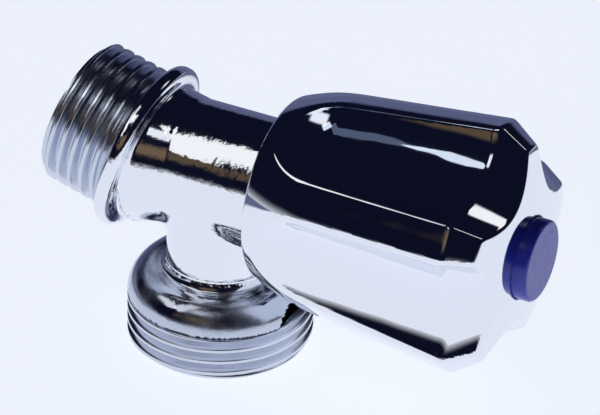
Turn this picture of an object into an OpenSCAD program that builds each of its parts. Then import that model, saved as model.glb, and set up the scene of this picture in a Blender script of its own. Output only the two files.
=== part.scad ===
// Appliance water tap: threaded inlet, angled barrel, threaded outlet, fluted knob on a spindle that does not rise.
// The origin is the centre of the outlet's open end, on which the tap stands. +X runs along the barrel to the knob.

/* [Inlet] */
// Outside diameter of the inlet pipe thread
inlet_thread_d = 20.955; // [20:0.005:22]
// Length of the inlet from its open end to the collar
inlet_len = 10.2; // [9:0.1:13]
// Diameter of the inlet waterway
inlet_bore_d = 14; // [12.5:0.1:14.5]
// Length of the straight part of the inlet waterway
inlet_bore_len = 8.1; // [7.6:0.1:8.4]
// Length of the chamfer at a thread's open end
thread_chamfer = 0.9; // [0.5:0.1:1.2]
// Width of the relief groove between the inlet thread and the collar
relief_w = 1; // [0.6:0.1:1.4]
// Depth of a thread below its outside diameter
thread_depth = 1.16; // [0.9:0.01:1.3]
// Distance from one turn of a thread to the next
thread_pitch = 1.814; // [1.7:0.001:1.9]

/* [Collar] */
// Outside diameter of the collar
collar_d = 24.6; // [23.6:0.1:27]
// Thickness of the collar
collar_t = 2.4; // [2:0.1:3.2]
// Radius of the collar's rounded rim
collar_round = 1; // [0.6:0.1:1]
// Diameter of the shoulder behind the collar
shoulder_d = 21; // [19.6:0.1:22.5]
// Length of the shoulder behind the collar
shoulder_len = 4.4; // [3.4:0.1:5]

/* [Barrel] */
// Angle between the inlet and the barrel, degrees
bend = 15.4; // [8:0.1:18]
// Outside diameter of the barrel
barrel_d = 17.9; // [17.6:0.1:18.4]
// Distance from the bend to the barrel's mouth
barrel_len = 22.7; // [22.3:0.1:24]
// Diameter of the bead round the barrel's mouth
mouth_bead_d = 19; // [18.8:0.1:19.8]
// Length of the bead round the barrel's mouth
mouth_bead_len = 3.2; // [2.4:0.1:4]
// Diameter of the chamber beside the seat
chamber_d = 13.8; // [13.4:0.1:14]
// Diameter of the barrel's inside thread, which the bonnet screws into
mouth_thread_d = 14.9; // [14.6:0.1:15.2]
// Depth of the inside thread from the mouth
mouth_thread_len = 8.4; // [8.3:0.1:8.8]

/* [Seat] */
// Distance from the bend to the top of the valve seat
seat_top = 5; // [4.8:0.1:5.4]
// Height of the seat's lip above the chamber floor
seat_lip_h = 0.7; // [0.4:0.1:1]
// Diameter of the hole through the seat
seat_hole_d = 9; // [8.4:0.1:9.4]
// Width of the seat's lip
seat_lip_w = 1; // [0.7:0.1:1.2]

/* [Outlet] */
// Outside diameter of the outlet pipe thread
outlet_thread_d = 26.441; // [25.5:0.001:27.5]
// Distance from the bend to the outlet's axis, along the barrel
outlet_place = 10.9; // [10.6:0.1:11.4]
// Distance from the barrel's axis to the outlet's open end
outlet_reach = 26.7; // [26:0.1:31]
// Length of the outlet's thread, up to the dome
outlet_thread_len = 7.4; // [6:0.1:8]
// Diameter of the neck
neck_d = 15.5; // [14.8:0.1:15.8]
// Diameter of the waterway through the neck
neck_bore_d = 10.2; // [9:0.1:10.6]
// Diameter of the bead at the neck's foot
neck_bead_d = 16.6; // [16.2:0.1:17.2]
// Radius of the dome's rounded edge
dome_round = 4.2; // [3.6:0.1:4.6]
// Diameter of the outlet's waterway at its open end
outlet_bore_d = 19.2; // [18:0.1:20]
// Depth of that waterway
outlet_bore_depth = 6.4; // [5.6:0.1:7]

/* [Bonnet] */
// Thickness of the flat seal under the bonnet
seal_t = 0.6; // [0.4:0.1:1]
// Width of the bonnet's hexagon across its flats
bonnet_hex = 17; // [16.6:0.1:17.2]
// Height of the bonnet's hexagon
bonnet_hex_h = 5.5; // [4.5:0.1:6]
// Length of the bonnet's threaded shank, below its hexagon
bonnet_shank_len = 8.2; // [7.8:0.1:8.3]
// Diameter of the bonnet's neck
bonnet_neck_d = 13; // [12.6:0.1:14]
// Diameter of the bonnet's top
bonnet_top_d = 11; // [10.6:0.1:11.4]
// Length of the spindle bore in the bonnet's top
gland_len = 7.2; // [7:0.1:8]
// Length of the bonnet's top above its neck
bonnet_top_len = 5.5; // [4.5:0.1:6]

/* [Spindle] */
// Diameter of the spindle where it runs in the bonnet
journal_d = 8; // [7.8:0.1:8.2]
// Diameter of the spindle's flange
flange_d = 9; // [8.8:0.1:9.1]
// Thickness of the spindle's flange
flange_t = 1.6; // [1.2:0.1:2]
// Diameter of the spindle's drive thread
drive_d = 5.9; // [5.4:0.1:6.1]
// Length of the drive thread
drive_len = 14.2; // [13.4:0.1:14.4]
// Outside diameter of the splines
spline_d = 7.8; // [7.6:0.1:7.9]
// Depth of a spline's groove
spline_depth = 0.4; // [0.3:0.05:0.5]
// Number of splines
spline_count = 20; // [16:1:24]
// Length of the splines
spline_len = 8; // [7:0.1:8.4]
// Thickness of the circlip
circlip_t = 0.7; // [0.5:0.1:0.8]
// Outside diameter of the circlip
circlip_d = 10.2; // [9.8:0.1:10.4]
// Width of the circlip's gap
circlip_gap = 2.4; // [1.6:0.1:3]
// Thickness of an O-ring's section
ring_section = 0.94; // [0.9:0.01:1]
// Distance between the two spindle O-rings
ring_spacing = 2.8; // [2.4:0.1:3.2]
// Thickness of the thrust washer
thrust_t = 0.6; // [0.4:0.1:0.8]

/* [Plunger] */
// Travel of the plunger from closed to open
travel = 5; // [4:0.1:5]
// Diameter of the plunger's round part
plunger_d = 10.6; // [10.4:0.1:10.8]
// Length of the plunger's round part
plunger_round_len = 8; // [7.8:0.1:8.2]
// Width of the plunger's hexagon across its flats
plunger_hex = 9.2; // [9.15:0.05:9.35]
// Length of the plunger's hexagon
plunger_hex_len = 7.5; // [7:0.1:7.6]
// Diameter of the plunger's flange
plunger_flange_d = 12.6; // [12:0.1:12.8]
// Thickness of the plunger's flange
plunger_flange_t = 1.5; // [1.2:0.1:1.8]
// Diameter of the stud that carries the rubber washer
stud_d = 3.8; // [3.4:0.1:4]
// Diameter of the rubber washer
washer_d = 11.8; // [11.4:0.1:12]
// Thickness of the rubber washer
washer_t = 3; // [2.6:0.1:3.2]
// Diameter of the plate under the rubber washer
plate_d = 7.6; // [7:0.1:7.8]
// Thickness of the plate under the rubber washer
plate_t = 0.6; // [0.4:0.1:0.8]
// Width of the washer nut across its flats
nut_hex = 6; // [5.6:0.1:6.4]
// Height of the washer nut
nut_h = 2.2; // [1.8:0.1:2.4]

/* [Knob] */
// How far the knob is turned from a lobe pointing straight up, degrees
knob_rest = -11.1; // [-36:0.1:36]
// Number of lobes
lobes = 5; // [5:1:6]
// Diameter across the lobes at the front rim
knob_d = 35.6; // [35:0.1:37]
// Taper of the knob's side, degrees
knob_taper = 6.1; // [5:0.1:6.6]
// Distance from the knob's back rim to its front rim
knob_side_len = 31; // [30.4:0.1:32]
// How far the knob's back rim reaches over the barrel's mouth
knob_overlap = 2.3; // [1.5:0.1:2.6]
// Radius of the rounded shoulder at the back
shoulder_r = 32; // [26:0.5:36]
// Length of the rounded shoulder
shoulder_reach = 9.6; // [9:0.1:10.4]
// Length of the chamfer at the front rim
rim_chamfer_len = 4; // [3.4:0.1:4.6]
// Depth of the chamfer at the front rim
rim_chamfer_depth = 2.75; // [2.4:0.05:3.2]
// Rise of the domed face above the chamfer
dome_rise = 1.8; // [1.4:0.1:2.1]
// Radius of a flute
flute_r = 12.8; // [12:0.1:14]
// Depth of a flute below the lobes
flute_depth = 4.8; // [3.6:0.05:4.9]
// Slope of the flutes, degrees
flute_taper = 2.1; // [1:0.1:3]
// Distance from the back rim at which the flutes begin to run out
flute_runout = 8.3; // [7.6:0.1:9.4]
// Slope of the scoop that opens each flute at the front, degrees
scoop_slope = 31.8; // [29:0.2:34]
// Half angle of that scoop
scoop_angle = 36.6; // [34:0.2:38]
// Distance from the front rim to the scoop's tip, along the scoop
scoop_len = 20.3; // [18:0.1:22]
// Diameter of the knob's hollow
knob_hollow_d = 20.8; // [20.4:0.1:21]
// Thickness of the web that the screw clamps
web_t = 2; // [1.6:0.1:2.4]
// Diameter of the boss round the hub
boss_d = 16; // [15:0.1:17]
// Diameter of the splined hub
hub_d = 12.4; // [11.6:0.1:12.8]

/* [Screw and button] */
// Diameter of the knob screw
screw_d = 3.9; // [3.5:0.1:4.2]
// Length of the knob screw under its head
screw_len = 10; // [8:0.1:11]
// Diameter of the screw's head
head_d = 7; // [6.4:0.1:7.2]
// Height of the screw's head
head_h = 2.2; // [1.8:0.1:2.4]
// Thickness of the ring under the screw's head
screw_ring_t = 0.7; // [0.5:0.1:0.9]
// Diameter of the button
button_d = 11.3; // [10.9:0.02:11.8]
// How far the button stands proud of the dome
button_proud = 1.75; // [1.2:0.05:2.2]
// Depth of the button's edge inside the knob
button_seat_depth = 2.3; // [2:0.1:2.6]
// Diameter of the button's snap skirt
skirt_d = 9.7; // [9.4:0.1:10]
// Length of the button's snap skirt
skirt_len = 2.4; // [1.8:0.1:2.6]
// Thickness of the skirt's wall
skirt_t = 0.9; // [0.7:0.1:1]

/* [Clearances] */
// Radial clearance of turning and sliding pieces
run_gap = 0.05; // [0.03:0.01:0.08]
// Clearance across the flats of the guided hexagon
guide_gap = 0.1; // [0.08:0.01:0.14]
// Gap between faces that pass each other
face_gap = 0.1; // [0.05:0.01:0.15]
// Radial clearance of screwed and snapped pieces
fit_gap = 0.05; // [0.03:0.01:0.08]

/* [Hidden] */
$fn = 96;

// Reach of a cutter past the face it opens
over = 1;
// Share of a thread's pitch that its crest takes
crest_w = 0.18;
chrome = [0.8, 0.82, 0.86];
brass = [0.8, 0.65, 0.3];
steel = [0.6, 0.62, 0.65];
rubber = [0.12, 0.12, 0.13];
blue = [0.13, 0.15, 0.55];

// Distance from the inlet's open end to the bend, which lies at the back of the collar
bend_x = inlet_len + collar_t;

// Stations along the barrel, measured from the bend
mouth = barrel_len;
bonnet_seat = mouth + seal_t;
shank_end = bonnet_seat - bonnet_shank_len;
chamber_floor = seat_top - seat_lip_h;
washer_top = seat_top + washer_t;
round_from = washer_top + plunger_flange_t;
hex_from = round_from + plunger_round_len;
plunger_top = hex_from + plunger_hex_len;
guide_from = hex_from + travel + 3 * face_gap;
guide_top = plunger_top + travel + 4 * face_gap;
flange_from = guide_top + face_gap;
thrust_from = flange_from + flange_t;
gland_from = thrust_from + thrust_t;
bonnet_top = gland_from + gland_len;
neck_top = bonnet_top - bonnet_top_len;
circlip_from = bonnet_top + face_gap;
spline_from = circlip_from + circlip_t + 4 * face_gap;
spindle_top = spline_from + spline_len;
drive_from = flange_from - drive_len;
ring_low = gland_from + 2.2;
ring_high = ring_low + ring_spacing;
plunger_ring = hex_from - 1.4;

// The knob's stations
knob_back = mouth - knob_overlap;
rim = knob_back + knob_side_len;
face_edge = rim + rim_chamfer_len;
dome_top = face_edge + dome_rise;
knob_r = knob_d / 2;
taper_from = knob_back + shoulder_reach;
taper_r = knob_r - (rim - taper_from) * tan(knob_taper);
web_from = spindle_top + 2 * face_gap;
web_top = web_from + web_t;
head_from = web_top + screw_ring_t;
button_seat = dome_top - button_seat_depth;
button_top = dome_top + button_proud;

// The outlet's stations, measured from the barrel's axis
dome_side = outlet_reach - outlet_thread_len;
dome_from = dome_side - dome_round;

// Places the barrel's axis on Z, with the outlet towards +X
module on_barrel() {
    translate([-outlet_place, 0, outlet_reach]) rotate([0, 90, 0]) children();
}

// Places the inlet's axis on Z, with its open end at height 0
module on_inlet() {
    translate([-outlet_place, 0, outlet_reach]) rotate([0, 90 + bend, 0]) translate([0, 0, -bend_x]) children();
}

// Places the outlet's axis on Z, starting on the barrel's axis
module on_outlet() {
    on_barrel() translate([0, 0, outlet_place]) rotate([0, 90, 0]) children();
}

// A plain tube or ring standing on height z
module ring(z, h, outer_d, inner_d) {
    translate([0, 0, z]) difference() {
        cylinder(h = h, d = outer_d);
        translate([0, 0, -over]) cylinder(h = h + 2 * over, d = inner_d);
    }
}

// A rubber ring of round section, centred on height z, its inside on inner_d
module o_ring(z, inner_d) {
    translate([0, 0, z]) rotate_extrude()
        translate([(inner_d + ring_section) / 2, 0]) circle(d = ring_section, $fn = 48);
}

// A groove for an O-ring, centred on height z, cut from a shaft of diameter d
module ring_groove(z, d) {
    ring(z - 0.65 * ring_section, 1.3 * ring_section, d + over, d - 2 * ring_section - run_gap);
}

// A hexagonal bar with chamfered corners at its top
module hex_bar(z, h, flats) {
    corner_d = flats / cos(30);
    translate([0, 0, z]) intersection() {
        cylinder(h = h, d = corner_d, $fn = 6);
        cylinder(h = h, d1 = flats + 2 * h / tan(30), d2 = flats);
    }
}

// A star of trapezoid teeth, grown by gap
module spline_outline(gap) {
    root = spline_d / 2 - spline_depth + gap;
    tip = spline_d / 2 + gap;
    step = 360 / spline_count;
    polygon([for (i = [0 : spline_count - 1]) for (p = [[root, 0.05], [root, 0.45], [tip, 0.6], [tip, 0.9]])
        [p[0] * cos((i + p[1]) * step), p[0] * sin((i + p[1]) * step)]]);
}

// A stub with a thread's crests and grooves as rings, and a chamfer at its open end at height 0
module thread_stub(d, h) {
    crest_r = d / 2;
    root_r = crest_r - thread_depth;
    turns = floor((h - thread_chamfer) / thread_pitch);
    groove = [[crest_r, crest_w], [root_r, 0.42], [root_r, 0.58], [crest_r, 1]];
    rotate_extrude() polygon(concat(
        [[0, 0], [root_r, 0], [crest_r, thread_chamfer]],
        [for (i = [0 : turns - 1]) for (g = groove) [g[0], thread_chamfer + (i + g[1]) * thread_pitch]],
        [[crest_r, h], [0, h]]));
}

// The inlet stub with its relief groove, and the collar with its rounded rim
module inlet_outside() {
    on_inlet() {
        difference() {
            thread_stub(inlet_thread_d, inlet_len + collar_t / 2);
            ring(inlet_len - relief_w, relief_w, inlet_thread_d + over, inlet_thread_d - 2 * thread_depth);
        }
        translate([0, 0, inlet_len]) rotate_extrude() {
            square([collar_d / 2 - collar_round, collar_t]);
            translate([0, collar_round]) square([collar_d / 2, collar_t - 2 * collar_round]);
            for (y = [collar_round, collar_t - collar_round])
                translate([collar_d / 2 - collar_round, y]) circle(r = collar_round);
        }
    }
}

// The barrel with its shoulder behind the collar and the bead round its mouth
module barrel_outside() {
    on_barrel() {
        sphere(d = shoulder_d - 1.4);
        cylinder(h = mouth, d = barrel_d);
        cylinder(h = shoulder_len, d1 = shoulder_d, d2 = barrel_d);
        translate([0, 0, mouth - mouth_bead_len]) rotate_extrude() {
            square([barrel_d / 2, mouth_bead_len]);
            translate([0, 0.4]) square([mouth_bead_d / 2, mouth_bead_len - 0.8]);
            polygon([[0, 0], [barrel_d / 2, 0], [mouth_bead_d / 2, 0.4], [0, 0.4]]);
            translate([0, mouth_bead_len - 0.4])
                polygon([[0, 0], [mouth_bead_d / 2, 0], [barrel_d / 2, 0.4], [0, 0.4]]);
        }
    }
}

// The neck, its bead, the dome and the outlet's threaded stub
module outlet_outside() {
    on_outlet() {
        cylinder(h = dome_from + 1, d = neck_d);
        translate([0, 0, dome_from - 0.9]) cylinder(h = 1.4, d1 = neck_d, d2 = neck_bead_d);
        translate([0, 0, dome_from]) rotate_extrude() {
            square([outlet_thread_d / 2 - dome_round, dome_round + over]);
            intersection() {
                translate([outlet_thread_d / 2 - dome_round, dome_round]) circle(r = dome_round);
                square([outlet_thread_d / 2, dome_round]);
            }
        }
        translate([0, 0, outlet_reach]) mirror([0, 0, 1]) thread_stub(outlet_thread_d, outlet_thread_len);
    }
}

// The waterway: straight inlet with a round end, seat hole, chamber, mouth thread, neck and outlet
module waterway() {
    on_inlet() translate([0, 0, -over]) rotate_extrude() {
        square([inlet_bore_d / 2, inlet_bore_len + over]);
        intersection() {
            translate([0, inlet_bore_len + over]) circle(d = inlet_bore_d);
            translate([0, inlet_bore_len]) square([inlet_bore_d, inlet_bore_d]);
        }
    }
    on_barrel() {
        cylinder(h = chamber_floor + over, d = seat_hole_d);
        difference() {
            translate([0, 0, chamber_floor]) cylinder(h = mouth - chamber_floor, d = chamber_d);
            ring(chamber_floor - over, seat_lip_h + over, seat_hole_d + 2 * seat_lip_w, seat_hole_d);
        }
        translate([0, 0, mouth - mouth_thread_len]) cylinder(h = mouth_thread_len + over, d = mouth_thread_d);
    }
    on_outlet() {
        cylinder(h = outlet_reach - outlet_bore_depth, d = neck_bore_d);
        translate([0, 0, outlet_reach - outlet_bore_depth - 3])
            cylinder(h = 3, d1 = neck_bore_d, d2 = outlet_bore_d);
        translate([0, 0, outlet_reach - outlet_bore_depth])
            cylinder(h = outlet_bore_depth + over, d = outlet_bore_d);
    }
}

module valve_body() {
    color(chrome) difference() {
        union() {
            inlet_outside();
            barrel_outside();
            outlet_outside();
        }
        waterway();
    }
}

module headwork_body() {
    color(brass) on_barrel() difference() {
        union() {
            translate([0, 0, shank_end])
                cylinder(h = bonnet_shank_len, d = mouth_thread_d - 2 * fit_gap);
            hex_bar(bonnet_seat, bonnet_hex_h, bonnet_hex);
            translate([0, 0, bonnet_seat]) cylinder(h = neck_top - bonnet_seat, d = bonnet_neck_d);
            translate([0, 0, bonnet_seat]) cylinder(h = bonnet_top - bonnet_seat, d = bonnet_top_d);
        }
        translate([0, 0, shank_end - over])
            cylinder(h = guide_from - shank_end + over, d = plunger_d + 2 * run_gap);
        translate([0, 0, guide_from - over])
            cylinder(h = guide_top - guide_from + over, d = (plunger_hex + guide_gap) / cos(30), $fn = 6);
        translate([0, 0, guide_top - over])
            cylinder(h = gland_from - guide_top + over, d = flange_d + 2 * run_gap);
        translate([0, 0, shank_end]) cylinder(h = bonnet_top - shank_end + over, d = journal_d + 2 * run_gap);
    }
}

module bonnet_seal() {
    color(rubber) on_barrel() ring(mouth, seal_t, barrel_d, mouth_thread_d + 4 * fit_gap);
}

module spindle() {
    color(brass) on_barrel() difference() {
        union() {
            translate([0, 0, drive_from]) cylinder(h = drive_len, d = drive_d);
            translate([0, 0, flange_from]) cylinder(h = flange_t - run_gap, d = flange_d);
            translate([0, 0, flange_from]) cylinder(h = spline_from - flange_from, d = journal_d);
            translate([0, 0, spline_from]) linear_extrude(height = spline_len) spline_outline(0);
        }
        ring_groove(ring_low, journal_d);
        ring_groove(ring_high, journal_d);
        ring(circlip_from - face_gap / 2, circlip_t + face_gap, journal_d + over, circlip_inner_d - 2 * fit_gap);
        translate([0, 0, spindle_top - screw_len]) cylinder(h = screw_len + over, d = screw_d + 2 * fit_gap);
    }
}

// The inside of the circlip, which rests in a groove of the spindle
circlip_inner_d = journal_d - 1.4;

// The inside of an O-ring on a shaft of diameter d
function ring_inner(d) = d - 2 * ring_section;

module spindle_o_ring_lower() {
    color(rubber) on_barrel() o_ring(ring_low, ring_inner(journal_d));
}

module spindle_o_ring_upper() {
    color(rubber) on_barrel() o_ring(ring_high, ring_inner(journal_d));
}

module thrust_washer() {
    color("white") on_barrel() ring(thrust_from, thrust_t - run_gap, flange_d, journal_d + 2 * fit_gap);
}

module spindle_circlip() {
    color(steel) on_barrel() difference() {
        ring(circlip_from, circlip_t, circlip_d, circlip_inner_d);
        translate([0, -circlip_gap / 2, circlip_from - over])
            cube([circlip_d, circlip_gap, circlip_t + 2 * over]);
    }
}

module valve_plunger() {
    color(brass) on_barrel() difference() {
        union() {
            translate([0, 0, seat_top - plate_t - nut_h]) cylinder(h = nut_h + plate_t + washer_t + over, d = stud_d);
            translate([0, 0, washer_top]) cylinder(h = plunger_flange_t, d = plunger_flange_d);
            translate([0, 0, washer_top]) cylinder(h = hex_from - washer_top, d = plunger_d);
            translate([0, 0, hex_from - over])
                cylinder(h = plunger_hex_len + over, d = plunger_hex / cos(30), $fn = 6);
        }
        ring_groove(plunger_ring, plunger_d);
        translate([0, 0, drive_from - travel - 3 * face_gap])
            cylinder(h = plunger_top - drive_from + travel + over, d = drive_d + 2 * run_gap);
    }
}

module plunger_o_ring() {
    color(rubber) on_barrel() o_ring(plunger_ring, ring_inner(plunger_d));
}

module seat_washer() {
    color(rubber) on_barrel() ring(seat_top, washer_t, washer_d, stud_d + 2 * fit_gap);
}

module washer_plate() {
    color(steel) on_barrel() ring(seat_top - plate_t, plate_t, plate_d, stud_d + 2 * fit_gap);
}

module washer_nut() {
    color(steel) on_barrel() translate([0, 0, seat_top - plate_t - nut_h]) difference() {
        cylinder(h = nut_h, d = nut_hex / cos(30), $fn = 6);
        translate([0, 0, -over]) cylinder(h = nut_h + 2 * over, d = stud_d + 2 * fit_gap);
    }
}

// The knob's outline before its flutes: rounded shoulder, taper, chamfer and dome
module knob_outline() {
    slope = knob_taper;
    centre = [taper_r - shoulder_r * cos(slope), taper_from + shoulder_r * sin(slope)];
    face_r = knob_r - rim_chamfer_depth;
    dome_r = (face_r * face_r + dome_rise * dome_rise) / (2 * dome_rise);
    intersection() {
        translate(centre) circle(r = shoulder_r, $fn = 192);
        translate([0, knob_back]) square([knob_r, shoulder_reach]);
    }
    polygon([[0, taper_from], [taper_r, taper_from], [knob_r, rim], [face_r, face_edge], [0, face_edge]]);
    intersection() {
        translate([0, dome_top - dome_r]) circle(r = dome_r, $fn = 360);
        translate([0, face_edge]) square([face_r, dome_rise + over]);
    }
}

// One flute's cutter: a round-ended sloping bar, and the cone that opens it at the front
module flute_cutter() {
    valley_r = knob_r - flute_depth;
    bar_len = knob_side_len - flute_runout + over;
    cone_h = 1.5 * knob_r;
    translate([valley_r + flute_r, 0, rim]) rotate([0, 180 + flute_taper, 0]) rotate_extrude() {
        translate([0, -over]) square([flute_r, bar_len + over]);
        intersection() {
            translate([0, bar_len]) circle(r = flute_r);
            translate([0, bar_len - over]) square([flute_r, flute_r + over]);
        }
    }
    translate([valley_r - scoop_len * sin(scoop_slope), 0, rim + scoop_len * cos(scoop_slope)])
        rotate([0, 180 - scoop_slope - scoop_angle, 0]) cylinder(h = cone_h, r1 = 0, r2 = cone_h * tan(scoop_angle));
}

// The hollow behind, the boss for the hub, and the stepped hole for screw and button
module knob_inside() {
    difference() {
        translate([0, 0, knob_back - over]) cylinder(h = web_from - knob_back + over, d = knob_hollow_d);
        translate([0, 0, spline_from]) cylinder(h = web_top - spline_from, d = boss_d);
    }
    translate([0, 0, spline_from - over]) cylinder(h = web_from - spline_from + over, d = hub_d + 2 * fit_gap);
    translate([0, 0, web_from - over]) cylinder(h = web_t + 2 * over, d = screw_d + 0.8);
    translate([0, 0, web_top]) cylinder(h = dome_top - web_top, d = skirt_d + 2 * fit_gap);
    translate([0, 0, button_seat]) cylinder(h = button_seat_depth + over, d = button_d + 2 * fit_gap);
}

module knob_shell() {
    color(chrome) on_barrel() difference() {
        rotate_extrude() knob_outline();
        for (i = [0 : lobes - 1]) rotate([0, 0, 180 + knob_rest + (i + 0.5) * 360 / lobes])
            flute_cutter();
        knob_inside();
    }
}

module knob_hub() {
    color(brass) on_barrel() difference() {
        translate([0, 0, spline_from]) cylinder(h = web_from - spline_from, d = hub_d);
        translate([0, 0, spline_from - over]) linear_extrude(height = web_from - spline_from + 2 * over)
            spline_outline(fit_gap);
    }
}

module knob_screw() {
    color(steel) on_barrel() difference() {
        union() {
            translate([0, 0, head_from - screw_len]) cylinder(h = screw_len + over, d = screw_d);
            translate([0, 0, head_from]) rotate_extrude() {
                square([head_d / 2, head_h / 2]);
                intersection() {
                    translate([head_d / 2 - head_h / 2, head_h / 2]) circle(d = head_h);
                    square([head_d / 2, head_h]);
                }
                square([head_d / 2 - head_h / 2, head_h]);
            }
        }
        translate([0, 0, head_from + head_h - 1.4]) for (a = [0, 90]) rotate([0, 0, a])
            translate([-2, -0.4, 0]) cube([4, 0.8, 1.4 + over]);
    }
}

module screw_washer() {
    color(steel) on_barrel() ring(web_top, screw_ring_t, head_d + 1, screw_d + 4 * fit_gap);
}

module index_button() {
    round_r = 0.5;
    color(blue) on_barrel() {
        translate([0, 0, button_seat]) rotate_extrude() {
            height = button_top - button_seat;
            square([button_d / 2, height - round_r]);
            square([button_d / 2 - round_r, height]);
            translate([button_d / 2 - round_r, height - round_r]) circle(r = round_r);
        }
        ring(button_seat - skirt_len, skirt_len + round_r, skirt_d, skirt_d - 2 * skirt_t);
    }
}

valve_body();
headwork_body();
bonnet_seal();
spindle();
spindle_o_ring_lower();
spindle_o_ring_upper();
thrust_washer();
spindle_circlip();
valve_plunger();
plunger_o_ring();
seat_washer();
washer_plate();
washer_nut();
knob_shell();
knob_hub();
knob_screw();
screw_washer();
index_button();
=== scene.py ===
"""Water tap: looks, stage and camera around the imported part.

Sizes are in millimetres in the barrel's frame, with the origin at the bend, +X to the knob and the outlet
down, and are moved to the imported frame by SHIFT.
"""

import math

import bpy
import numpy as np
from mathutils import Matrix, Vector


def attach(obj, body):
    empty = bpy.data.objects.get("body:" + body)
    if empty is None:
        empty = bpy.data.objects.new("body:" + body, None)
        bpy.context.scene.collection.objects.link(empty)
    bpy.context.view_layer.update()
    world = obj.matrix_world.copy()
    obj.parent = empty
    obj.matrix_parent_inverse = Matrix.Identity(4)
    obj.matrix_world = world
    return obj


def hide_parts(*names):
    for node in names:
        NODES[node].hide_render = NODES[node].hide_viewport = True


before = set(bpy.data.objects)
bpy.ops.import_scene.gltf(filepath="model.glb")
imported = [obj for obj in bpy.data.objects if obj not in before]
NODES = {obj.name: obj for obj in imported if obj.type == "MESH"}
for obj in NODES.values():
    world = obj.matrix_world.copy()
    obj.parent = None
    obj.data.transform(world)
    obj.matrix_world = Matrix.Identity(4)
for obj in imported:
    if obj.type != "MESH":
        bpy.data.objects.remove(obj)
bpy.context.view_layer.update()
MM = 0.001

# The outlet's axis and open end, from the bend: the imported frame's origin lies where they meet
OUTLET_U, OUTLET_REACH = 10.9, 26.7
SHIFT = np.array([-OUTLET_U, 0.0, OUTLET_REACH])

# Widths of the cells that the skins are made in, and a thread's columns
KNOB_GRID, BODY_GRID = ((0.33, 0.36))
THREAD_COLUMNS = 192

# Camera
AZIMUTH, ELEVATION, ROLL = math.radians(26.2306), math.radians(31.2222), math.radians(1.8906)
LENS, SENSOR_WIDTH = 193.826, 36.0
CAMERA_PLACE = Vector((179.304, -339.552, 253.644)) * MM


def make_camera():
    back = Vector((math.sin(AZIMUTH) * math.cos(ELEVATION),
                   -math.cos(AZIMUTH) * math.cos(ELEVATION), math.sin(ELEVATION)))
    level = Vector((math.cos(AZIMUTH), math.sin(AZIMUTH), 0.0))
    upright = back.cross(level)
    right = level * math.cos(ROLL) + upright * math.sin(ROLL)
    up = upright * math.cos(ROLL) - level * math.sin(ROLL)
    data = bpy.data.cameras.new("camera")
    data.sensor_fit = "HORIZONTAL"
    data.sensor_width = SENSOR_WIDTH
    data.lens = LENS
    data.clip_start = 0.01
    data.clip_end = 20.0
    camera = bpy.data.objects.new("camera", data)
    bpy.context.scene.collection.objects.link(camera)
    place = Matrix((right, up, back)).transposed().to_4x4()
    place.translation = CAMERA_PLACE
    camera.matrix_world = place
    bpy.context.scene.camera = camera


make_camera()


# Signed distance fields, negative inside. A piece's own field takes points (n, 3)
FAR = 1000.0


def soft_max(a, b, width):
    h = np.maximum(width - np.abs(a - b), 0.0) / width
    return np.maximum(a, b) + h * h * width * 0.25


def soft_min(a, b, width):
    return -soft_max(-a, -b, width)


def between(f, u, low=-FAR, high=FAR):
    """A form cut off square at two heights along its axis."""
    return np.maximum(f, np.maximum(low - u, u - high))


def line_side(u, r, u0, r0, u1, r1):
    """Distance from the line through two points of a profile, positive on its outer side."""
    length = math.hypot(u1 - u0, r1 - r0)
    return ((r - r0) * (u1 - u0) - (u - u0) * (r1 - r0)) / length


def bar_distance(u, a, t, start, tilt, reach):
    """Distance from a straight bar's axis that runs back from a point (u, a) of the plane t = 0."""
    du, da = -math.cos(tilt), -math.sin(tilt)
    pu, pa = u - start[0], a - start[1]
    along = np.minimum(pu * du + pa * da, reach)
    return np.sqrt((pu - along * du) ** 2 + (pa - along * da) ** 2 + t * t)


def cone_distance(u, a, t, tip, lean, half_angle):
    """A cone with its tip at a point (u, a) of the plane t = 0, opening in the direction of its lean."""
    cu, ca = math.cos(lean), math.sin(lean)
    pu, pa = u - tip[0], a - tip[1]
    along = pu * cu + pa * ca
    off = np.sqrt((pu - along * cu) ** 2 + (pa - along * ca) ** 2 + t * t)
    return off * math.cos(half_angle) - along * math.sin(half_angle)


# The knob: places along the barrel's axis, radii round it
KNOB_BACK, RIM, FACE_EDGE, FACE_TOP = 20.4, 51.4, 55.4, 57.2
KNOB_R, KNOB_TAPER = 17.78, math.radians(6.1)
SHOULDER_REACH, SHOULDER_R = 9.6, 32.0
CHAMFER_DEPTH = 2.75
# The face falls away by the radius squared over this
FACE_SPREAD = 125.0
LOBES, LOBE_TURN = 5, math.radians(-11.1)
FLUTE_R, VALLEY_R, FLUTE_TILT, FLUTE_END = 12.8, 13.0, math.radians(2.1), 28.7
SCOOP_SLOPE, SCOOP_ANGLE, SCOOP_LEN = math.radians(31.8), math.radians(36.6), 20.3
CHAMFER_BLEND, FLUTE_BLEND, SCOOP_BLEND, FACE_BLEND, BACK_BLEND = 0.35, 0.55, 0.3, 0.45, 0.5

# Its hollow with the boss in it, and what goes through to the face
HOLLOW_R, HOLLOW_END, HOLLOW_BLEND = 10.4, 49.6, 0.3
BOSS_R, BOSS_START = 8.0, 41.7
HUB_HOLE_R, SCREW_HOLE_R = 6.25, 2.35
WELL_R, WELL_START = 4.9, 51.65
RECESS_R, RECESS_START, RECESS_BLEND = 5.72, 54.9, 0.2
KNOB_BOX = (20.0, -18.2, -18.2), (57.6, 18.2, 18.2)


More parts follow.
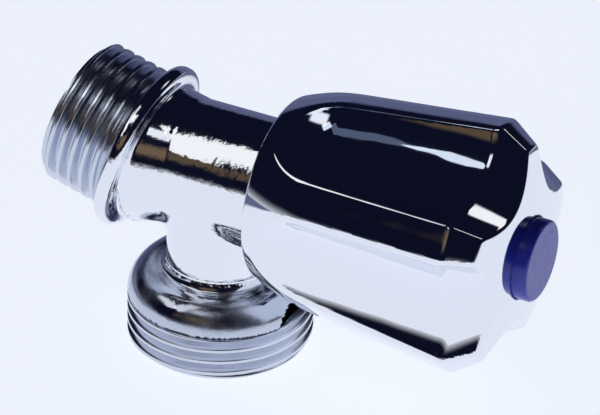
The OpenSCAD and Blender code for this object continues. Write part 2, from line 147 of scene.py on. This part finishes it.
def knob_side(u, r):
    """The tapered side, with the round shoulder behind it."""
    start = KNOB_BACK + SHOULDER_REACH
    start_r = KNOB_R - (RIM - start) * math.tan(KNOB_TAPER)
    taper = (r - start_r - (u - start) * math.tan(KNOB_TAPER)) * math.cos(KNOB_TAPER)
    centre_u = start + SHOULDER_R * math.sin(KNOB_TAPER)
    centre_r = start_r - SHOULDER_R * math.cos(KNOB_TAPER)
    shoulder = np.hypot(u - centre_u, r - centre_r) - SHOULDER_R
    return np.where(u < start, shoulder, taper)


def knob_field(p):
    u = p[:, 0]
    r = np.hypot(p[:, 1], p[:, 2])
    step = 2 * math.pi / LOBES
    turn = np.arctan2(-p[:, 1], p[:, 2]) - LOBE_TURN
    turn = np.mod(turn, step) - step / 2
    a, t = r * np.cos(turn), r * np.sin(turn)

    bar = bar_distance(u, a, t, (RIM, VALLEY_R + FLUTE_R), FLUTE_TILT, RIM - FLUTE_END) - FLUTE_R
    tip = RIM + SCOOP_LEN * math.cos(SCOOP_SLOPE), VALLEY_R - SCOOP_LEN * math.sin(SCOOP_SLOPE)
    scoop = cone_distance(u, a, t, tip, math.pi - SCOOP_SLOPE - SCOOP_ANGLE, SCOOP_ANGLE)
    chamfer = line_side(u, r, RIM, KNOB_R, FACE_EDGE, KNOB_R - CHAMFER_DEPTH)
    face = u - (FACE_TOP - r * r / FACE_SPREAD)
    f = soft_max(knob_side(u, r), chamfer, CHAMFER_BLEND)
    f = soft_max(f, -bar, FLUTE_BLEND)
    f = soft_max(f, -scoop, SCOOP_BLEND)
    f = soft_max(f, face, FACE_BLEND)
    f = soft_max(f, KNOB_BACK - u, BACK_BLEND)

    hollow = between(r - HOLLOW_R, u, high=HOLLOW_END)
    hollow = np.maximum(hollow, np.where(u > BOSS_START, BOSS_R - r, -FAR))
    f = soft_max(f, -hollow, HOLLOW_BLEND)
    f = np.maximum(f, -between(r - HUB_HOLE_R, u, high=HOLLOW_END))
    f = np.maximum(f, SCREW_HOLE_R - r)
    f = np.maximum(f, -between(r - WELL_R, u, low=WELL_START))
    return soft_max(f, -between(r - RECESS_R, u, low=RECESS_START), RECESS_BLEND)


# The casting: the barrel's sizes along its own axis, from the bend
BEND = math.radians(15.4)
BARREL_R, MOUTH = 8.93, 22.68
BALL_R = 9.75
COLLAR_SHOULDER, COLLAR_SHOULDER_END = (0.0, 10.35, 4.4, 8.9), 4.9
BEAD_R, BEAD_MIDDLE, BEAD_HALF, BEAD_ROUND = 9.48, 21.08, 1.58, 0.5
BALL_BLEND, BARREL_BLEND, BEAD_BLEND = 0.6, 1.2, 0.25
SEAT_HOLE_R, SEAT_HOLE_END = 4.5, 6.0
CHAMBER_R, CHAMBER_START = 6.9, 4.3
MOUTH_HOLE_R, MOUTH_HOLE_START = 7.45, 14.3

# The inlet's, from its open end
INLET_DIR = np.array([math.cos(BEND), 0.0, -math.sin(BEND)])
INLET_REACH = 12.6
INLET_ROOT_R, INLET_START = 9.2, 0.02
COLLAR_MIDDLE, COLLAR_CORE_HALF, COLLAR_CORE_R, COLLAR_ROUND = 11.4, 0.2, 11.3, 1.0
COLLAR_BLEND, INLET_BLEND = 0.7, 0.3
INLET_BORE_R, INLET_BORE_END = 7.0, 8.1

# The outlet's, down from the barrel's axis
NECK_R, NECK_END = 7.75, 16.5
FOOT_PROFILE, FOOT_END = (14.2, 7.75, 15.6, 8.4), 16.0
DOME_START, DOME_END, DOME_CORE_R, DOME_ROUND, DOME_CUT = 15.12, 19.32, 9.02, 4.2, 19.34
OUTLET_ROOT_R, OUTLET_ROOT_START, OUTLET_END = 11.98, 18.0, 26.68
DOME_BLEND, FOOT_BLEND, NECK_BLEND = 1.1, 0.5, 1.3
NECK_BORE_R, OUTLET_BORE_R, OUTLET_BORE_START = 5.1, 9.6, 20.3
FUNNEL_START, FUNNEL_END = 17.3, 20.4
BODY_BOX = (-16.5, -13.6, -27.1), (23.1, 13.6, 13.0)

# Both pipe threads
THREAD_PITCH, THREAD_DEPTH = 1.814, 1.16
INLET_THREAD_R, INLET_THREAD_LEN, INLET_CHAMFER, INLET_RUNOUT = 10.4775, 10.1, 0.9, 0.8
OUTLET_THREAD_R, OUTLET_THREAD_LEN, OUTLET_CHAMFER, OUTLET_RUNOUT = 13.2205, 7.3, 0.9, 0.25


def barrel_form(p, u, r):
    """The barrel with its shoulder, the ball at the bend and the bead round the mouth."""
    barrel = between(r - BARREL_R, u, 0.0, MOUTH)
    shoulder = between(line_side(u, r, *COLLAR_SHOULDER), u, 0.0, COLLAR_SHOULDER_END)
    ball = np.sqrt((p * p).sum(1)) - BALL_R
    f = soft_min(barrel, soft_min(shoulder, ball, BALL_BLEND), BARREL_BLEND)
    bead = soft_max(r - BEAD_R, np.abs(u - BEAD_MIDDLE) - BEAD_HALF, BEAD_ROUND)
    return soft_min(f, bead, BEAD_BLEND)


def outlet_form(w, r):
    """The neck, the dome under it and the foot between them."""
    neck = between(r - NECK_R, w, 0.0, NECK_END)
    edge = np.hypot(np.minimum(w - DOME_END, 0.0), np.maximum(r - DOME_CORE_R, 0.0)) - DOME_ROUND
    dome = between(np.where(r < DOME_CORE_R, DOME_START - w, edge), w, high=DOME_CUT)
    foot = between(line_side(w, r, *FOOT_PROFILE), w, FOOT_PROFILE[0], FOOT_END)
    return soft_min(soft_min(neck, dome, DOME_BLEND), foot, FOOT_BLEND)


def collar_form(s, r):
    """A disc with a round rim."""
    ds, dr = np.abs(s - COLLAR_MIDDLE) - COLLAR_CORE_HALF, r - COLLAR_CORE_R
    outside = np.hypot(np.maximum(ds, 0.0), np.maximum(dr, 0.0))
    return outside + np.minimum(np.maximum(ds, dr), 0.0) - COLLAR_ROUND


def body_field(p):
    u, w = p[:, 0], -p[:, 2]
    r = np.hypot(p[:, 1], p[:, 2])
    s = p @ INLET_DIR + INLET_REACH
    inlet_r = np.sqrt(np.maximum((p * p).sum(1) - (s - INLET_REACH) ** 2, 0.0))
    outlet_r = np.hypot(u - OUTLET_U, p[:, 1])

    f = soft_min(barrel_form(p, u, r), outlet_form(w, outlet_r), NECK_BLEND)
    f = np.minimum(f, between(outlet_r - OUTLET_ROOT_R, w, OUTLET_ROOT_START, OUTLET_END))
    f = soft_min(f, collar_form(s, inlet_r), COLLAR_BLEND)
    f = soft_min(f, between(inlet_r - INLET_ROOT_R, s, INLET_START, INLET_REACH), INLET_BLEND)

    funnel = line_side(w, outlet_r, FUNNEL_START, NECK_BORE_R, OUTLET_BORE_START, OUTLET_BORE_R)
    waterway = (
        np.hypot(inlet_r, np.maximum(s - INLET_BORE_END, 0.0)) - INLET_BORE_R,
        between(r - SEAT_HOLE_R, u, 0.0, SEAT_HOLE_END),
        between(r - CHAMBER_R, u, low=CHAMBER_START),
        between(r - MOUTH_HOLE_R, u, low=MOUTH_HOLE_START),
        between(outlet_r - NECK_BORE_R, w, low=0.0),
        between(outlet_r - OUTLET_BORE_R, w, low=OUTLET_BORE_START),
        between(funnel, w, FUNNEL_START, FUNNEL_END),
    )
    for cut in waterway:
        f = np.maximum(f, -cut)
    return f


# Meshes from the fields
SLOPE_STEP = 0.02
SETTLING_STEPS = 6
LEAST_SLOPE = 0.15
CELL_REACH = 0.75
TINY = 1e-12


def gradient(field, p):
    g = np.empty_like(p)
    for axis in range(3):
        step = np.zeros(3)
        step[axis] = SLOPE_STEP
        g[:, axis] = (field(p + step) - field(p - step)) / (2 * SLOPE_STEP)
    return g


def settle(field, centre, h):
    """The cells' middles moved onto the surface, each in or near its own cell, and the normals there."""
    points = centre.copy()
    for _ in range(SETTLING_STEPS):
        f = field(points)
        g = gradient(field, points)
        move = -(f / np.maximum((g * g).sum(1), LEAST_SLOPE))[:, None] * g
        points = points + np.clip(move, -h, h)
        points = np.clip(points, centre - CELL_REACH * h, centre + CELL_REACH * h)
    normals = gradient(field, points)
    normals /= np.linalg.norm(normals, axis=1)[:, None] + TINY
    return points, normals


def quads_across(axis, inside, number):
    """A quad round each grid edge along one axis that goes through the surface."""
    b, c = (axis + 1) % 3, (axis + 2) % 3
    first = [slice(None)] * 3
    second = [slice(None)] * 3
    first[axis], second[axis] = slice(0, -1), slice(1, None)
    at = np.argwhere(inside[tuple(first)] != inside[tuple(second)])
    at = at[(at[:, b] > 0) & (at[:, c] > 0) & (at[:, b] < number.shape[b]) & (at[:, c] < number.shape[c])]
    ring = []
    for db, dc in ((-1, -1), (0, -1), (0, 0), (-1, 0)):
        cell = at.copy()
        cell[:, b] += db
        cell[:, c] += dc
        ring.append(number[cell[:, 0], cell[:, 1], cell[:, 2]])
    quads = np.stack(ring, axis=1)
    flip = ~inside[at[:, 0], at[:, 1], at[:, 2]]
    quads[flip] = quads[flip][:, ::-1]
    return quads


def net(field, box, h):
    """Points, quads and normals of a field's zero surface in a box, with one point a cell of width h."""
    axes = [np.arange(low, high + h, h) for low, high in zip(*box)]
    inside = np.empty([len(axis) for axis in axes], bool)
    ys, zs = np.meshgrid(axes[1], axes[2], indexing="ij")
    for i, x in enumerate(axes[0]):
        points = np.stack([np.full(ys.size, x), ys.ravel(), zs.ravel()], axis=1)
        inside[i] = field(points).reshape(ys.shape) < 0
    cells = tuple(n - 1 for n in inside.shape)
    count = np.zeros(cells, np.int8)
    for corner in np.ndindex(2, 2, 2):
        count += inside[tuple(slice(n, n + size) for n, size in zip(corner, cells))]
    mixed = (count > 0) & (count < 8)
    number = np.full(cells, -1, np.int64)
    number[mixed] = np.arange(mixed.sum())
    where = np.argwhere(mixed)
    centre = np.stack([axes[n][where[:, n]] + h / 2 for n in range(3)], axis=1)
    points, normals = settle(field, centre, h)
    return points, np.concatenate([quads_across(n, inside, number) for n in range(3)]), normals


# A thread's profile in shares of its pitch: the root's middle, half a turn's width, the root's half width and
# the flank's, both as shares of that half, and how much of the flank's form is rounded
ROOT_PLACE, TURN_HALF, ROOT_FLAT, FLANK, ROUNDED = 0.545, 0.455, 0.14, 0.62, 0.45
PROFILE_STOPS = (0.0, 0.09, 0.16, 0.22, 0.34, 0.46, 0.52, 0.58, 0.64, 0.76, 0.88, 0.94)
END_RING = 0.6
FLAT = 1e-5


def thread(crest_r, length, chamfer, runout):
    """A right-hand thread's sleeve round +Z from height 0, and its quads."""
    columns, stops = THREAD_COLUMNS, len(PROFILE_STOPS)
    root_r = crest_r - THREAD_DEPTH
    turns = int(length / THREAD_PITCH) + 3
    rows = np.array([k + stop for k in range(-2, turns) for stop in PROFILE_STOPS])
    share = np.arange(columns) / columns
    angle = 2 * math.pi * share
    z = np.clip((rows[:, None] + share[None, :]) * THREAD_PITCH, 0.0, length)
    phase = np.mod(z / THREAD_PITCH - share[None, :], 1.0)
    flank = np.clip((np.abs(phase - ROOT_PLACE) / TURN_HALF - ROOT_FLAT) / FLANK, 0.0, 1.0)
    flank = flank * flank * (3 - 2 * flank) * ROUNDED + flank * (1 - ROUNDED)
    fade = np.clip(z / chamfer, 0.0, 1.0) * np.clip((length - z) / runout, 0.0, 1.0)
    radius = root_r + THREAD_DEPTH * flank * fade
    points = np.stack([radius * np.cos(angle), radius * np.sin(angle), z], axis=2).reshape(-1, 3)

    # past the last column a row goes on as the row one pitch up
    i, j = np.meshgrid(np.arange(len(rows) - 1 - stops), np.arange(columns), indexing="ij")
    k = (j + 1) % columns
    n = i + np.where(k == 0, stops, 0)
    quads = np.stack([i * columns + j, n * columns + k, (n + 1) * columns + k, (i + 1) * columns + j], axis=2)
    quads = quads.reshape(-1, 4)
    heights = points[quads][:, :, 2]
    quads = quads[heights.max(1) - heights.min(1) > FLAT]

    # flat rings that close both ends
    near = np.arange(columns)
    far = (near + 1) % columns
    for height, up in ((0.0, False), (length, True)):
        first = len(points)
        for r in (root_r - END_RING, root_r):
            circle = np.stack([r * np.cos(angle), r * np.sin(angle), np.full(columns, height)], axis=1)
            points = np.concatenate([points, circle])
        ring = np.stack([near, near + columns, far + columns, far], axis=1) + first
        quads = np.concatenate([quads, ring if up else ring[:, ::-1]])
    return points, quads


def face_normals(points, quads):
    a, b = points[quads[:, 2]] - points[quads[:, 0]], points[quads[:, 3]] - points[quads[:, 1]]
    flat = np.cross(a, b)
    normals = np.zeros_like(points)
    for n in range(4):
        np.add.at(normals, quads[:, n], flat)
    return normals / (np.linalg.norm(normals, axis=1)[:, None] + TINY)


def make_piece(name, parts, body, nodes):
    """One object from (points, quads, normals, material) parts."""
    part_points, part_quads, part_normals, looks = zip(*parts)
    points = (np.concatenate(part_points) + SHIFT) * MM
    starts = np.cumsum([0] + [len(part) for part in part_points])
    quads = np.concatenate([part + start for part, start in zip(part_quads, starts)])
    normals = np.concatenate(part_normals)
    look_index = np.repeat(np.arange(len(parts)), [len(part) for part in part_quads])
    mesh = bpy.data.meshes.new(name)
    mesh.vertices.add(len(points))
    mesh.vertices.foreach_set("co", points.astype(np.float32).ravel())
    mesh.loops.add(quads.size)
    mesh.loops.foreach_set("vertex_index", quads.astype(np.int32).ravel())
    mesh.polygons.add(len(quads))
    mesh.polygons.foreach_set("loop_start", np.arange(0, quads.size, 4, dtype=np.int32))
    for look in looks:
        mesh.materials.append(look)
    mesh.polygons.foreach_set("material_index", look_index.astype(np.int32))
    mesh.polygons.foreach_set("use_smooth", np.ones(len(quads), bool))
    mesh.update(calc_edges=True)
    mesh.normals_split_custom_set_from_vertices(normals.astype(np.float32).tolist())
    piece = bpy.data.objects.new(name, mesh)
    bpy.context.scene.collection.objects.link(piece)
    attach(piece, body)
    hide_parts(*nodes)
    return piece


# Shader nodes
class Graph:
    """A node tree, and short ways to add to it."""

    def __init__(self, tree):
        self.tree = tree

    def put(self, socket, value):
        """A socket set to a constant, or linked to another node's output."""
        if isinstance(value, bpy.types.NodeSocket):
            self.tree.links.new(value, socket)
        elif socket.type == "RGBA":
            socket.default_value = (*value, 1.0)
        else:
            socket.default_value = value

    def add(self, kind, inputs=(), **settings):
        node = self.tree.nodes.new(kind)
        for name, value in settings.items():
            setattr(node, name, value)
        for key, value in dict(inputs).items():
            self.put(node.inputs[key], value)
        return node

    def mix(self, fac, low, high, data_type="RGBA"):
        sockets = {"Factor": fac, "A": low, "B": high}
        return self.add("ShaderNodeMix", sockets, data_type=data_type).outputs["Result"]

    def ramp(self, value, start, end, low=0.0, high=1.0, curve="LINEAR"):
        """A number that goes from low to high as the value goes from start to end."""
        sockets = {"Value": value, "From Min": start, "From Max": end, "To Min": low, "To Max": high}
        return self.add("ShaderNodeMapRange", sockets, interpolation_type=curve).outputs["Result"]

    def smooth(self, value, start, end):
        return self.ramp(value, start, end, curve="SMOOTHSTEP")

    def calculate(self, operation, *values):
        return self.add("ShaderNodeMath", enumerate(values), operation=operation).outputs[0]

    def dot(self, vector, axis):
        node = self.add("ShaderNodeVectorMath", {0: vector, 1: axis}, operation="DOT_PRODUCT")
        return node.outputs["Value"]


class Surface(Graph):
    """A material, with its Principled shader."""

    def __init__(self, name, color, metallic, roughness):
        self.material = bpy.data.materials.new(name)
        self.material.use_nodes = True
        super().__init__(self.material.node_tree)
        self.shader = self.tree.nodes["Principled BSDF"]
        self.give("Base Color", color)
        self.give("Metallic", metallic)
        self.give("Roughness", roughness)

    def give(self, name, value):
        self.put(self.shader.inputs[name], value)

    def place(self):
        return self.add("ShaderNodeTexCoord").outputs["Object"]

    def noise(self, scale, detail=2.0):
        sockets = {"Vector": self.place(), "Scale": scale, "Detail": detail}
        return self.add("ShaderNodeTexNoise", sockets).outputs["Fac"]

    def vary(self, fac, roughness, more):
        self.give("Roughness", self.ramp(fac, 0.3, 0.7, roughness, roughness + more))

    def bump(self, height, distance, under=None):
        """A bump in metres, on top of another where one is given."""
        node = self.add("ShaderNodeBump", {"Height": height, "Distance": distance, "Strength": 1.0})
        if under:
            self.put(node.inputs["Normal"], under.outputs["Normal"])
        self.give("Normal", node.outputs["Normal"])
        return node


# Materials
GLOSS_NOISE, WAVE_NOISE, GRAIN_NOISE = 260.0, 170.0, 2600.0
MOTTLE_NOISE, CAST_WAVE_NOISE, CAST_GRAIN_NOISE, DULL_NOISE = 210.0, 150.0, 1100.0, 900.0
# The casting's colour, and the darker colour that it turns to towards the bottom, round the outlet
CHROME, DARKER_CHROME = (0.86, 0.88, 0.92), (0.56, 0.60, 0.70)
CAST_ROUGHNESS, MOTTLED_ROUGHNESS = 0.07, (0.10, 0.30)
CAST_WAVE, CAST_GRAIN = 0.00016, 0.000028
DARK_ROUGH_TOP, DARK_ROUGH_BOTTOM = 12.8 * MM, 11.2 * MM


def metal(name, color, roughness, more, wave, grain):
    """Plated or turned metal: uneven gloss, a slow waviness and a fine grain."""
    m = Surface(name, color, 1.0, roughness)
    m.vary(m.noise(GLOSS_NOISE), roughness, more)
    slow = m.bump(m.noise(WAVE_NOISE, 1.0), wave) if wave else None
    if grain:
        m.bump(m.noise(GRAIN_NOISE, 3.0), grain, slow)
    return m.material


def cast(name):
    """Polished casting with an uneven surface; towards the bottom, round the outlet, its colour is darker and
    its gloss rougher and mottled.
    """
    m = Surface(name, CHROME, 1.0, 0.06)
    height = m.add("ShaderNodeSeparateXYZ", {"Vector": m.place()}).outputs["Z"]
    # Towards the bottom, round the outlet: darker colour, and rougher, mottled gloss
    low = m.smooth(height, DARK_ROUGH_TOP, DARK_ROUGH_BOTTOM)
    m.give("Base Color", m.mix(low, CHROME, DARKER_CHROME))
    mottled = m.ramp(m.noise(MOTTLE_NOISE, 2.5), 0.35, 0.65, *MOTTLED_ROUGHNESS)
    m.give("Roughness", m.mix(low, CAST_ROUGHNESS, mottled, "FLOAT"))
    slow = m.bump(m.noise(CAST_WAVE_NOISE, 1.0), CAST_WAVE)
    m.bump(m.noise(CAST_GRAIN_NOISE, 2.5), CAST_GRAIN, slow)
    return m.material


def dull(name, color, other, roughness, grain):
    """Rubber or plastic: two near colours, uneven gloss and a fine grain."""
    m = Surface(name, color, 0.0, roughness)
    fac = m.noise(DULL_NOISE, 3.0)
    m.give("Base Color", m.mix(fac, color, other))
    m.vary(fac, roughness, 0.12)
    m.bump(fac, grain)
    return m.material


knob_chrome = metal("knob_chrome", (0.86, 0.88, 0.93), 0.03, 0.03, 0.00004, 0.0)
cast_chrome = cast("cast_chrome")
thread_chrome = metal("thread_chrome", (0.66, 0.70, 0.79), 0.16, 0.12, 0.00012, 0.000003)
brass = metal("brass", (0.80, 0.60, 0.28), 0.22, 0.15, 0.0, 0.000004)
steel = metal("steel", (0.62, 0.63, 0.66), 0.25, 0.15, 0.0, 0.000004)
rubber = dull("rubber", (0.018, 0.018, 0.02), (0.03, 0.03, 0.032), 0.5, 0.00001)
white_plastic = dull("white_plastic", (0.8, 0.8, 0.78), (0.72, 0.72, 0.7), 0.35, 0.000004)
blue_plastic = dull("blue_plastic", (0.02, 0.03, 0.42), (0.025, 0.04, 0.47), 0.2, 0.000001)

NODE_LOOKS = (
    (brass, ("headwork_body", "spindle", "valve_plunger", "knob_hub")),
    (steel, ("spindle_circlip", "washer_plate", "washer_nut", "knob_screw", "screw_washer")),
    (rubber, ("bonnet_seal", "spindle_o_ring_lower", "spindle_o_ring_upper", "plunger_o_ring",
              "seat_washer")),
    (white_plastic, ("thrust_washer",)),
    (blue_plastic, ("index_button",)),
    (knob_chrome, ("knob_shell", "valve_body")),
)
for look, names in NODE_LOOKS:
    for name in names:
        NODES[name].data.materials.clear()
        NODES[name].data.materials.append(look)


# Pieces
def make_knob():
    skin = (*net(knob_field, KNOB_BOX, KNOB_GRID), knob_chrome)
    return make_piece("knob_skin", [skin], "turning", ["knob_shell"])


def pipe_thread(crest_r, length, chamfer, runout, axes, place):
    """A thread's sleeve turned onto its axes and moved from the bend."""
    points, quads = thread(crest_r, length, chamfer, runout)
    points = points @ axes + place
    return points, quads, face_normals(points, quads), thread_chrome


def make_body():
    side = np.array([0.0, 1.0, 0.0])
    inlet_axes = np.stack([np.cross(side, INLET_DIR), side, INLET_DIR])
    outlet_place = np.array([OUTLET_U, 0.0, -OUTLET_REACH])
    parts = [
        (*net(body_field, BODY_BOX, BODY_GRID), cast_chrome),
        pipe_thread(INLET_THREAD_R, INLET_THREAD_LEN, INLET_CHAMFER, INLET_RUNOUT, inlet_axes,
                    -INLET_DIR * INLET_REACH),
        pipe_thread(OUTLET_THREAD_R, OUTLET_THREAD_LEN, OUTLET_CHAMFER, OUTLET_RUNOUT, np.eye(3),
                    outlet_place),
    ]
    return make_piece("body_skin", parts, "body", ["valve_body"])


knob = make_knob()
body = make_body()

# Stage: in metres, with the line behind the tap where the sheet that it stands on ends
FLOOR_HALF = 3.0
SHEET_SLANT, SHEET_END, SHEET_GONE = -0.9, 0.045, 0.085
SHEET_COLOR, BEHIND_COLOR, SEEN_COLOR = (0.80, 0.84, 0.93), (0.10, 0.115, 0.215), (0.82, 0.86, 0.94)


def make_floor():
    mesh = bpy.data.meshes.new("floor")
    corners = [(x * FLOOR_HALF, y * FLOOR_HALF, 0) for x, y in ((-1, -1), (1, -1), (1, 1), (-1, 1))]
    mesh.from_pydata(corners, [], [(0, 1, 2, 3)])
    floor = bpy.data.objects.new("floor", mesh)
    bpy.context.scene.collection.objects.link(floor)
    m = Surface("floor", (0.25, 0.26, 0.28), 0.0, 0.9)
    m.give("Emission Strength", 1.0)
    # the sheet's end shows in reflections only
    place = m.add("ShaderNodeSeparateXYZ", {"Vector": m.place()}).outputs
    depth = m.calculate("MULTIPLY_ADD", place["X"], SHEET_SLANT, place["Y"])
    sheet = m.mix(m.smooth(depth, SHEET_END, SHEET_GONE), SHEET_COLOR, BEHIND_COLOR)
    glossy = m.add("ShaderNodeLightPath").outputs["Is Glossy Ray"]
    m.give("Emission Color", m.mix(glossy, SEEN_COLOR, sheet))
    mesh.materials.append(m.material)


make_floor()

# The studio by direction: pale up to the horizon and dark above it, as heights of a direction
PALE_UP_TO, DARK_FROM = -0.1, 0.13
LEAST_DEPTH, FRONT_EDGE = 0.02, 0.1
PALE_COLOR, DARK_COLOR, BACKDROP_COLOR = (0.9, 0.93, 1.0), (0.004, 0.005, 0.016), (0.87, 0.90, 0.98)
# Panels: the centre's direction, the way up, half the width, half the height, the edge's width and the colour
PANELS = (
    ((-0.43, 0.89, 0.06), (0, 0, 1), 0.7, 0.16, 0.14, (0.10, 0.115, 0.215)),
    ((0.02, -0.87, 0.48), (0, 0, 1), 0.16, 0.05, 0.20, (0.16, 0.11, 0.07)),
    ((-0.43, -0.77, 0.46), (0, 0, 1), 0.03, 0.05, 0.09, (0.10, 0.07, 0.045)),
    ((-0.62, -0.30, 0.73), (0, -1, 0), 0.09, 0.20, 0.04, (1.0, 1.0, 1.0)),
    ((-0.02, -0.50, 0.86), (0, -1, 0), 0.14, 0.09, 0.06, (0.9, 0.93, 1.0)),
    ((0.42, 0.60, 0.68), (0, 0, 1), 0.10, 0.10, 0.05, (1.0, 1.0, 1.0)),
)


def make_world():
    world = bpy.data.worlds.new("world")
    bpy.context.scene.world = world
    world.use_nodes = True
    world.node_tree.nodes.clear()
    g = Graph(world.node_tree)
    place = g.add("ShaderNodeTexCoord").outputs["Generated"]
    color = g.mix(g.smooth(g.dot(place, (0.0, 0.0, 1.0)), PALE_UP_TO, DARK_FROM), PALE_COLOR, DARK_COLOR)
    for centre, up, half_width, half_height, edge, tone in PANELS:
        ahead = Vector(centre).normalized()
        right = Vector(up).cross(ahead).normalized()
        facing = g.dot(place, ahead)
        depth = g.calculate("MAXIMUM", facing, LEAST_DEPTH)
        masks = []
        for axis, half in ((right, half_width), (ahead.cross(right), half_height)):
            off = g.calculate("ABSOLUTE", g.calculate("DIVIDE", g.dot(place, axis), depth))
            masks.append(g.smooth(off, half + edge, half))
        mask = g.calculate("MULTIPLY", g.calculate("MULTIPLY", *masks), g.smooth(facing, 0.0, FRONT_EDGE))
        color = g.mix(mask, color, tone)
    lighting = g.add("ShaderNodeBackground", {"Color": color}).outputs["Background"]
    backdrop = g.add("ShaderNodeBackground", {"Color": BACKDROP_COLOR}).outputs["Background"]
    camera_ray = g.add("ShaderNodeLightPath").outputs["Is Camera Ray"]
    both = g.add("ShaderNodeMixShader", {"Fac": camera_ray, 1: lighting, 2: backdrop}).outputs["Shader"]
    g.add("ShaderNodeOutputWorld", {"Surface": both})


def soft_light(name, lit, place, target, size, radiance, color=(1.0, 1.0, 1.0), turn=0.0):
    """A rectangular light on one piece, as bright as asked in a mirror; places and sizes in mm."""
    data = bpy.data.lights.new(name, "AREA")
    data.shape = "RECTANGLE"
    data.size, data.size_y = size[0] * MM, size[1] * MM
    data.energy = radiance * math.pi * data.size * data.size_y
    data.color = color
    light = bpy.data.objects.new(name, data)
    bpy.context.scene.collection.objects.link(light)
    start = Vector(np.array(place) + SHIFT) * MM
    aim = (Vector(np.array(target) + SHIFT) * MM - start).normalized()
    facing = aim.to_track_quat("-Z", "Y").to_matrix().to_4x4()
    light.rotation_euler = (facing @ Matrix.Rotation(turn, 4, "Z")).to_euler()
    light.location = start
    light.visible_camera = False
    receivers = bpy.data.collections.new(name)
    receivers.objects.link(lit)
    light.light_linking.receiver_collection = receivers


soft_light("barrel_light", body, place=(-32, -54, 92), target=(10, 0, 0), size=(32, 82), radiance=1.0,
           turn=math.radians(8))
soft_light("knob_light", knob, place=(6, -39, 100), target=(48, -5, 12), size=(12, 15), radiance=0.95,
           color=(0.80, 0.89, 1.0))
soft_light("knob_light_low", knob, place=(-11, -37, 100), target=(35, -5, 12), size=(22, 10), radiance=0.16,
           color=(0.50, 0.66, 1.0))
make_world()

bpy.context.scene.view_settings.view_transform = "Standard"
